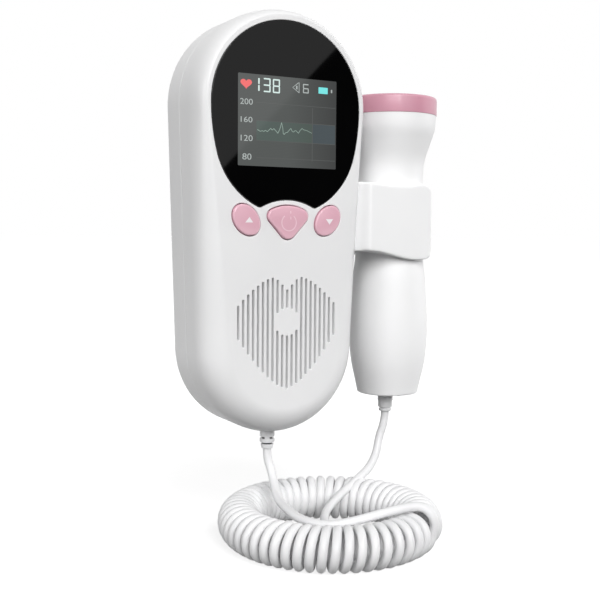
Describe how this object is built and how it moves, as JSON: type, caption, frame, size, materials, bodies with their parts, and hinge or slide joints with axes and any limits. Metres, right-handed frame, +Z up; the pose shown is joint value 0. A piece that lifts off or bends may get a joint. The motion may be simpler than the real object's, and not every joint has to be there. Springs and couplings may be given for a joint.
{
  "type": "fetal doppler monitor",
  "caption": "Palm-sized fetal heart doppler: display unit with three keys and a heart grille, a probe in a side clip, and a curly cord.",
  "frame": {"origin": "middle of the casing's flat back face, between its two end radii", "axes": "+X to the user's right, +Y out of the back face (the display looks along -Y), +Z up along the casing"},
  "size_m": [0.0955, 0.0729, 0.1709],
  "materials": {
    "white_casing": "white glossy moulded plastic with a faint moulded texture",
    "pink_plastic": "pink glossy moulded plastic",
    "black_lens": "black-printed glossy acrylic",
    "lcd": "lit colour display",
    "lcd_frame": "black moulded plastic",
    "board": "green solder-masked board",
    "chip": "black moulded chip packages",
    "switch_metal": "sprung steel domes",
    "mesh": "dark dust mesh",
    "speaker_steel": "stamped steel",
    "paper_cone": "black paper",
    "magnet": "sintered magnet",
    "cell_left": "plain printed cell sleeve",
    "contact_metal": "nickel-plated spring steel",
    "jack": "black moulded jack",
    "screw_steel": "zinc-plated steel",
    "white_door": "white glossy moulded plastic",
    "white_clip": "white glossy moulded plastic",
    "white_probe": "white glossy moulded plastic",
    "acoustic": "pale matching-layer rubber",
    "piezo": "silvered piezo ceramic",
    "backing": "absorbing foam",
    "relief": "soft grey-white PVC",
    "cord": "glossy white PVC jacket"
  },
  "bodies": {
    "unit": {"front_shell": "white_casing", "back_shell": "white_casing", "display_lens": "black_lens", "lcd_panel": "lcd", "lcd_frame": "lcd_frame", "main_board": "board", "board_chips": "chip", "key_switches": "switch_metal", "grille_mesh": "mesh", "speaker_frame": "speaker_steel", "speaker_cone": "paper_cone", "speaker_magnet": "magnet", "battery_cell_left": "cell_left", "battery_cell_right": "cell_left", "battery_contacts": "contact_metal", "headphone_jack": "jack", "lead_relief": "relief", "casing_screws": "screw_steel", "board_screws": "screw_steel", "clip_screws": "screw_steel", "probe_clip": "white_clip", "unit_lead": "cord", "probe_lead": "cord", "curly_cord": "cord"},
    "power_button": {"power_button": "pink_plastic"},
    "volume_up_button": {"volume_up_button": "pink_plastic"},
    "volume_down_button": {"volume_down_button": "pink_plastic"},
    "battery_door": {"battery_door": "white_door"},
    "probe": {"probe_head": "white_probe", "probe_handle": "white_probe", "probe_cap": "pink_plastic", "acoustic_face": "acoustic", "piezo_transmitter": "piezo", "piezo_receiver": "piezo", "backing_block": "backing", "probe_board": "board", "probe_relief": "relief"}
  },
  "joints": [
    {"name": "power_button_press", "type": "slide", "parent": "unit", "child": "power_button", "axis": [0, 1, 0], "range_m": [0, 0.0005], "stiffness_N_per_m": 1500},
    {"name": "volume_up_button_press", "type": "slide", "parent": "unit", "child": "volume_up_button", "axis": [0, 1, 0], "range_m": [0, 0.0005], "stiffness_N_per_m": 1500},
    {"name": "volume_down_button_press", "type": "slide", "parent": "unit", "child": "volume_down_button", "axis": [0, 1, 0], "range_m": [0, 0.0005], "stiffness_N_per_m": 1500},
    {"name": "battery_door_swing", "type": "hinge", "parent": "unit", "child": "battery_door", "pos_m": [0, 0, 0.0299], "axis": [1, 0, 0], "range_deg": [0, 60]},
    {"name": "probe_pull_out", "type": "slide", "parent": "unit", "child": "probe", "axis": [1, 0, 0], "range_m": [0, 0.03]}
  ]
}
